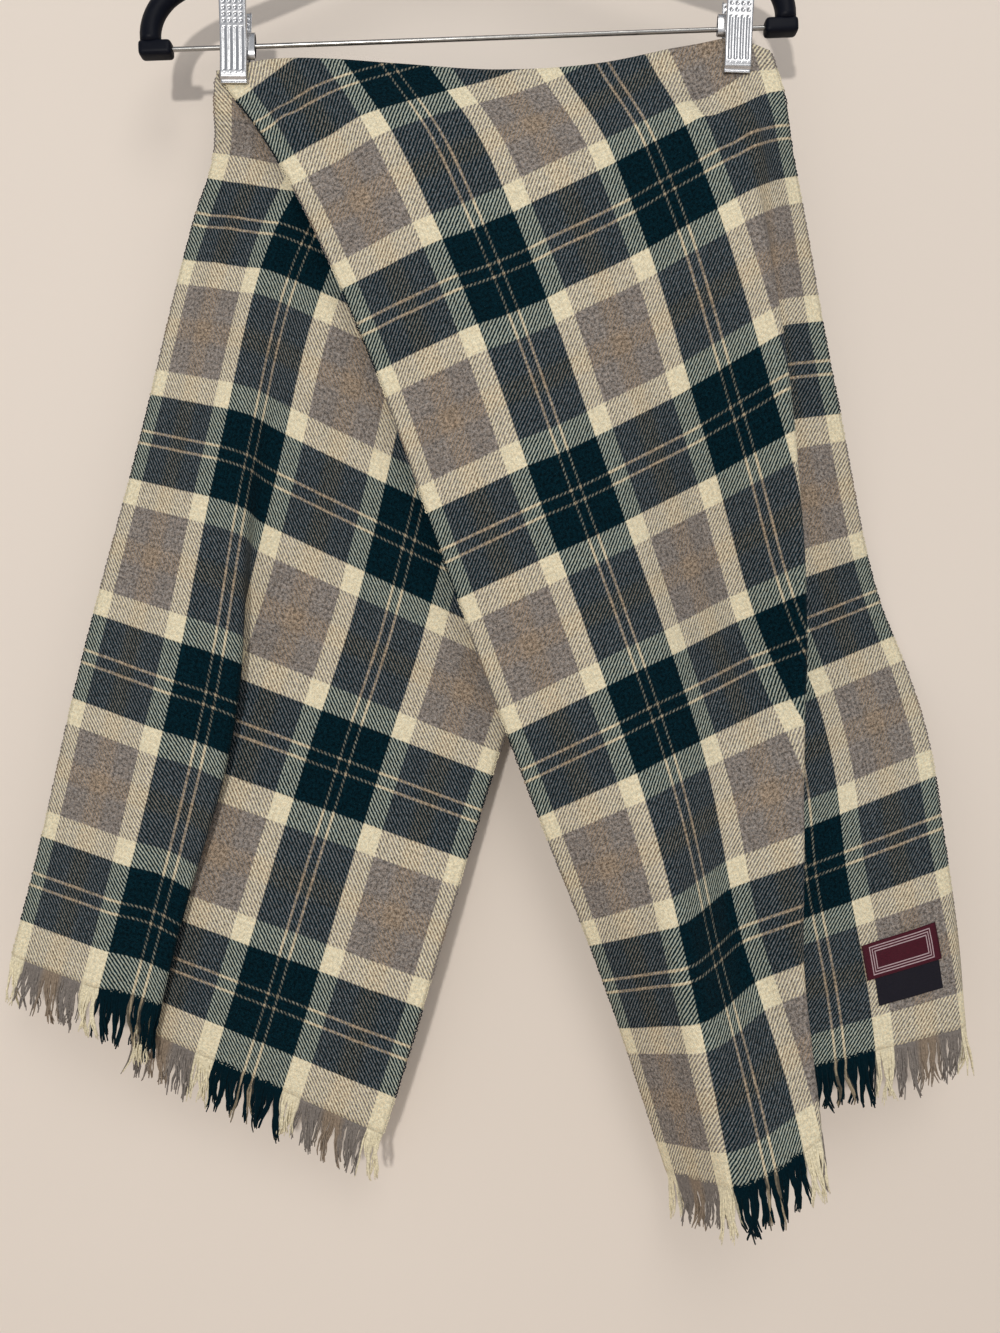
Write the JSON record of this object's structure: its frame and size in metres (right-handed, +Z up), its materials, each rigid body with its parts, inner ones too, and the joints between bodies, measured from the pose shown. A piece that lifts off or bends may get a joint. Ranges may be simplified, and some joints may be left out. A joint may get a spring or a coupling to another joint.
{
  "type": "wool scarf on a clip hanger",
  "caption": "Fringed plaid wool scarf folded slantwise over its middle and held by two metal clips on the rod of a plastic hanger, both ends hanging down.",
  "frame": {"origin": "the inner top of the hanger's hook, where the rail that it hangs on touches it", "axes": "+Z up, -Y out of the front that shows both labels, +X to the viewer's right along the hanger"},
  "size_m": [0.6181, 0.0978, 0.9852],
  "materials": {
    "plaid_wool": "brushed twill, matte with a soft nap, green, grey and cream tartan with tan and peach lines",
    "fringe_yarn": "loose wool yarns in the colours of the warp",
    "burgundy_label": "woven satin label with a pale double border line, no text",
    "dark_label": "plain woven tape label, no text",
    "hanger_plastic": "moulded black plastic, satin to glossy",
    "polished_steel": "plated round wire",
    "clip_steel": "pressed sheet, nickel plated, ribbed and dimpled"
  },
  "bodies": {
    "root": {"scarf_front_fall": "plaid_wool", "scarf_back_fall": "plaid_wool", "fringe_front": "fringe_yarn", "fringe_back": "fringe_yarn", "brand_label": "burgundy_label", "care_label": "dark_label", "hanger_hook": "polished_steel", "hanger_neck": "hanger_plastic", "hanger_rod": "polished_steel", "hanger_arm_left": "hanger_plastic", "hanger_arm_right": "hanger_plastic", "hanger_foot_left": "hanger_plastic", "hanger_foot_right": "hanger_plastic", "clip_front_left": "clip_steel", "clip_back_left": "clip_steel", "clip_spring_left": "clip_steel", "clip_front_right": "clip_steel", "clip_back_right": "clip_steel", "clip_spring_right": "clip_steel"}
  },
  "joints": []
}
